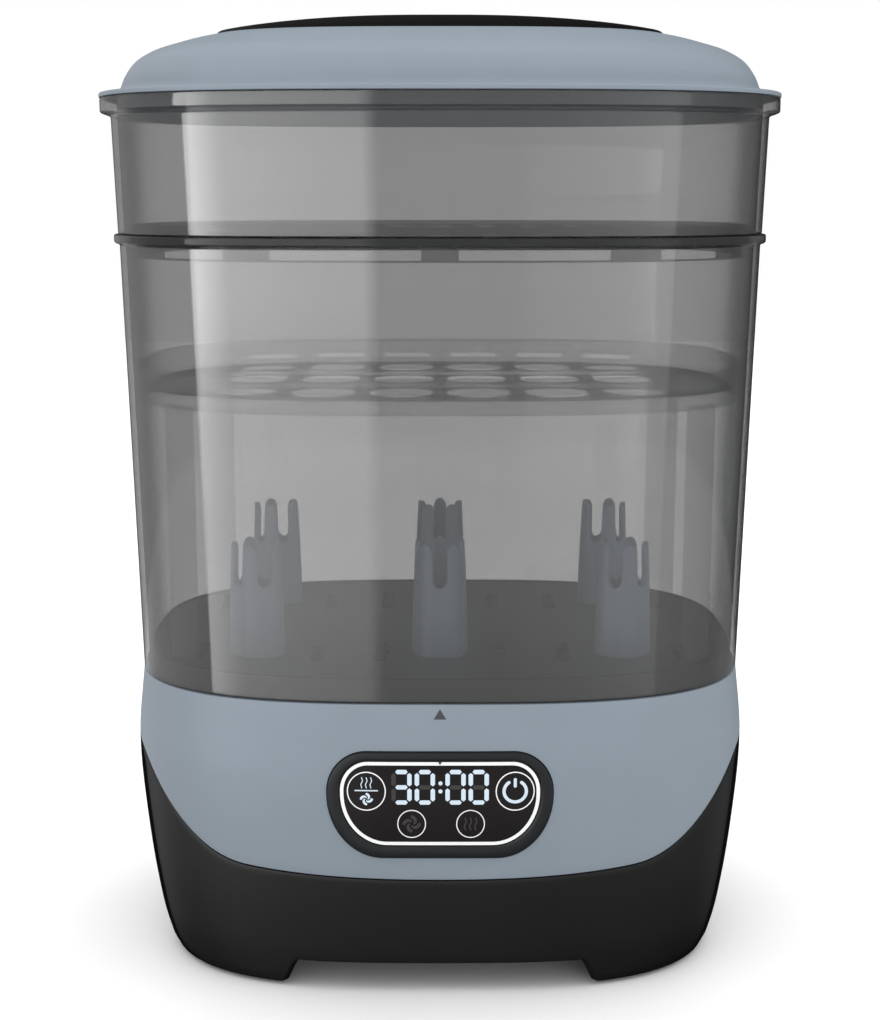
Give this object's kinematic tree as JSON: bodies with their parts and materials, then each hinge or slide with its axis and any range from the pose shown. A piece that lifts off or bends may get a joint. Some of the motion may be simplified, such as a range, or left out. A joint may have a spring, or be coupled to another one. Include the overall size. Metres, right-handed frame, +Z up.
{
  "type": "bottle steam steriliser",
  "caption": "Electric bottle steam steriliser and dryer: base with touch panel, blower and heating plate, see-through tiers with lift-out trays, post rack and a domed lid.",
  "frame": {"origin": "centre of the bounding box at the height of the surface that the feet stand on", "axes": "+Z up, front with the control panel faces -Y, +X to the right seen from the front"},
  "size_m": [0.2824, 0.2006, 0.4006],
  "materials": {
    "blue_grey_plastic": "satin",
    "black_plastic": "satin",
    "smoke_tier": "polished, see-through smoke tint",
    "clear_tray": "polished, see-through",
    "dark_tray": "polished, dark see-through",
    "bezel_gloss": "gloss",
    "panel_glass": "high gloss",
    "display_plastic": "matte",
    "circuit_board": "satin",
    "stainless": "brushed",
    "heater_steel": "dull",
    "silicone": "matte",
    "rubber": "matte",
    "sponge": "open-cell foam",
    "nickel": "plated",
    "motor_steel": "plated",
    "winding_wrap": "taped winding"
  },
  "bodies": {
    "base": {"air_duct": "black_plastic", "base_cover": "blue_grey_plastic", "base_deck": "black_plastic", "base_housing": "black_plastic", "bottom_cover": "black_plastic", "bottom_screw_1": "nickel", "bottom_screw_2": "nickel", "bottom_screw_3": "nickel", "bottom_screw_4": "nickel", "control_bezel": "bezel_gloss", "control_glass": "panel_glass", "display_board": "circuit_board", "display_module": "display_plastic", "fan_housing": "black_plastic", "fan_motor": "motor_steel", "heating_element": "heater_steel", "heating_plate": "stainless", "inlet_pin_1": "nickel", "inlet_pin_2": "nickel", "inlet_pin_3": "nickel", "plate_seal": "silicone", "power_board": "circuit_board", "power_inlet": "black_plastic", "power_transformer": "winding_wrap", "rubber_foot_1": "rubber", "rubber_foot_2": "rubber", "rubber_foot_3": "rubber", "rubber_foot_4": "rubber", "thermostat": "nickel"},
    "filter": {"air_filter": "sponge"},
    "rack": {"bottle_post_1": "blue_grey_plastic", "bottle_post_2": "blue_grey_plastic", "bottle_post_3": "blue_grey_plastic", "bottle_post_4": "blue_grey_plastic", "bottle_post_5": "blue_grey_plastic", "bottle_post_6": "blue_grey_plastic", "bottle_rack": "dark_tray"},
    "fan": {"fan_impeller": "black_plastic"},
    "filter_door": {"filter_cover": "black_plastic"},
    "lid": {"lid_cap": "black_plastic", "lid_shell": "blue_grey_plastic"},
    "lower_tier": {"lower_body": "smoke_tier"},
    "middle_tray": {"middle_tray": "clear_tray"},
    "top_tray": {"top_tray": "dark_tray"},
    "upper_tier": {"upper_body": "smoke_tier"}
  },
  "joints": [
    {"name": "rack_lift", "type": "slide", "parent": "base", "child": "rack", "axis": [0, 0, 1], "range_m": [0, 0.03]},
    {"name": "lower_tier_lift", "type": "slide", "parent": "rack", "child": "lower_tier", "axis": [0, 0, 1], "range_m": [0, 0.06]},
    {"name": "middle_tray_lift", "type": "slide", "parent": "lower_tier", "child": "middle_tray", "axis": [0, 0, 1], "range_m": [0, 0.18]},
    {"name": "top_tray_lift", "type": "slide", "parent": "middle_tray", "child": "top_tray", "axis": [0, 0, 1], "range_m": [0, 0.03]},
    {"name": "upper_tier_lift", "type": "slide", "parent": "top_tray", "child": "upper_tier", "axis": [0, 0, 1], "range_m": [0, 0.03]},
    {"name": "lid_lift", "type": "slide", "parent": "upper_tier", "child": "lid", "axis": [0, 0, 1], "range_m": [0, 0.04]},
    {"name": "fan_spin", "type": "hinge", "parent": "base", "child": "fan", "pos_m": [-0.072, 0.012, 0.0815], "axis": [0, 0, 1], "continuous": true},
    {"name": "filter_pull", "type": "slide", "parent": "base", "child": "filter", "axis": [0, 1, 0], "range_m": [0, 0.03]},
    {"name": "filter_door_pull", "type": "slide", "parent": "filter", "child": "filter_door", "axis": [0, 1, 0], "range_m": [0, 0.03]}
  ]
}
